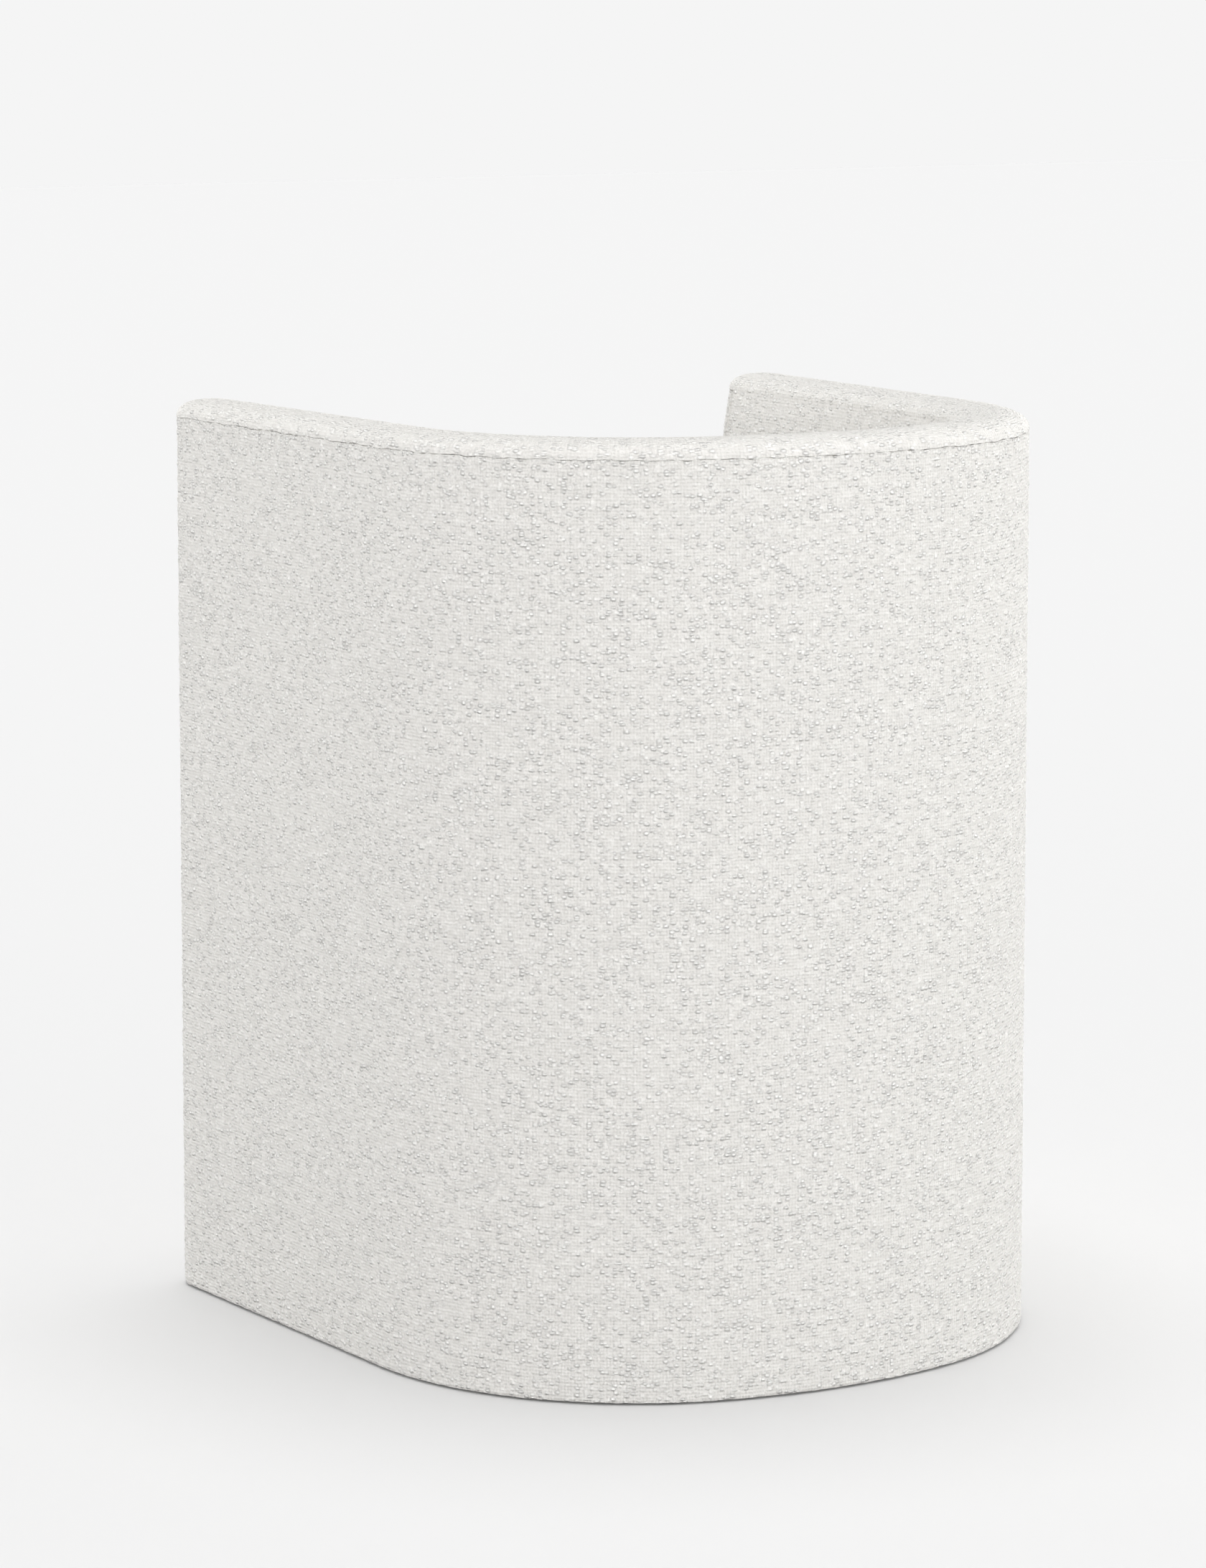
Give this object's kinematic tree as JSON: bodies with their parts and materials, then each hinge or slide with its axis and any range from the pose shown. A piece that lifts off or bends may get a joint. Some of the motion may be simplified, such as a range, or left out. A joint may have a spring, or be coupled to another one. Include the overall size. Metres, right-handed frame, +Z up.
{
  "type": "upholstered barrel chair",
  "caption": "Barrel chair with a wrap-round wall to the floor in pale looped-wool cloth, a rounded rim seam and a loose seat cushion on a sprung timber frame",
  "frame": {"origin": "on the floor, under the middle of the overall box", "axes": "+Z up, -Y towards the open front, +X to the left-hand arm of the sitter"},
  "size_m": [0.608, 0.594, 0.762],
  "materials": {
    "boucle": "matte",
    "wadding": "matte",
    "foam": "matte",
    "plywood": "matte",
    "bent_board": "matte",
    "hardwood": "matte",
    "webbing": "matte",
    "felt": "matte",
    "deck_cloth": "matte",
    "dust_cloth": "matte",
    "spring_steel": "satin",
    "zinc_steel": "satin",
    "zip_nylon": "matte",
    "glide_nylon": "satin"
  },
  "bodies": {
    "chair": {"arm_front_pad_left": "foam", "arm_front_pad_right": "foam", "arm_stud_left": "hardwood", "arm_stud_right": "hardwood", "back_board": "bent_board", "back_stud_left": "hardwood", "back_stud_right": "hardwood", "back_web_1": "webbing", "back_web_2": "webbing", "back_web_3": "webbing", "base_ring": "plywood", "corner_block_left": "hardwood", "corner_block_right": "hardwood", "corner_stud_front_left": "hardwood", "corner_stud_front_right": "hardwood", "corner_stud_rear_left": "hardwood", "corner_stud_rear_right": "hardwood", "deck_cloth": "deck_cloth", "deck_felt": "felt", "deck_pad": "foam", "dust_cover": "dust_cloth", "front_board": "plywood", "front_clip_1": "zinc_steel", "front_clip_2": "zinc_steel", "front_clip_3": "zinc_steel", "front_clip_4": "zinc_steel", "front_clip_5": "zinc_steel", "front_cover": "boucle", "front_post_left": "hardwood", "front_post_right": "hardwood", "front_seat_rail": "hardwood", "front_wadding": "wadding", "glide_front_left": "glide_nylon", "glide_front_right": "glide_nylon", "glide_rear_left": "glide_nylon", "glide_rear_middle": "glide_nylon", "glide_rear_right": "glide_nylon", "inside_cover": "boucle", "inside_foam": "foam", "outer_wadding": "wadding", "outside_cover": "boucle", "rear_clip_1": "zinc_steel", "rear_clip_2": "zinc_steel", "rear_clip_3": "zinc_steel", "rear_clip_4": "zinc_steel", "rear_clip_5": "zinc_steel", "seam_grip_strip": "zinc_steel", "seat_hoop": "plywood", "spring_1": "spring_steel", "spring_2": "spring_steel", "spring_3": "spring_steel", "spring_4": "spring_steel", "spring_5": "spring_steel", "top_rail": "plywood"},
    "cushion": {"cushion_cover": "boucle", "cushion_core": "foam", "zip_tape": "zip_nylon"},
    "zip_slider": {"zip_slider": "zinc_steel"}
  },
  "joints": [
    {"name": "cushion_lift", "type": "slide", "parent": "chair", "child": "cushion", "axis": [0, 0, 1], "range_m": [0, 0.4]},
    {"name": "zip_run", "type": "hinge", "parent": "cushion", "child": "zip_slider", "pos_m": [0, -0.125, 0.435], "axis": [0, 0, 1], "range_deg": [0, 25.6]}
  ]
}
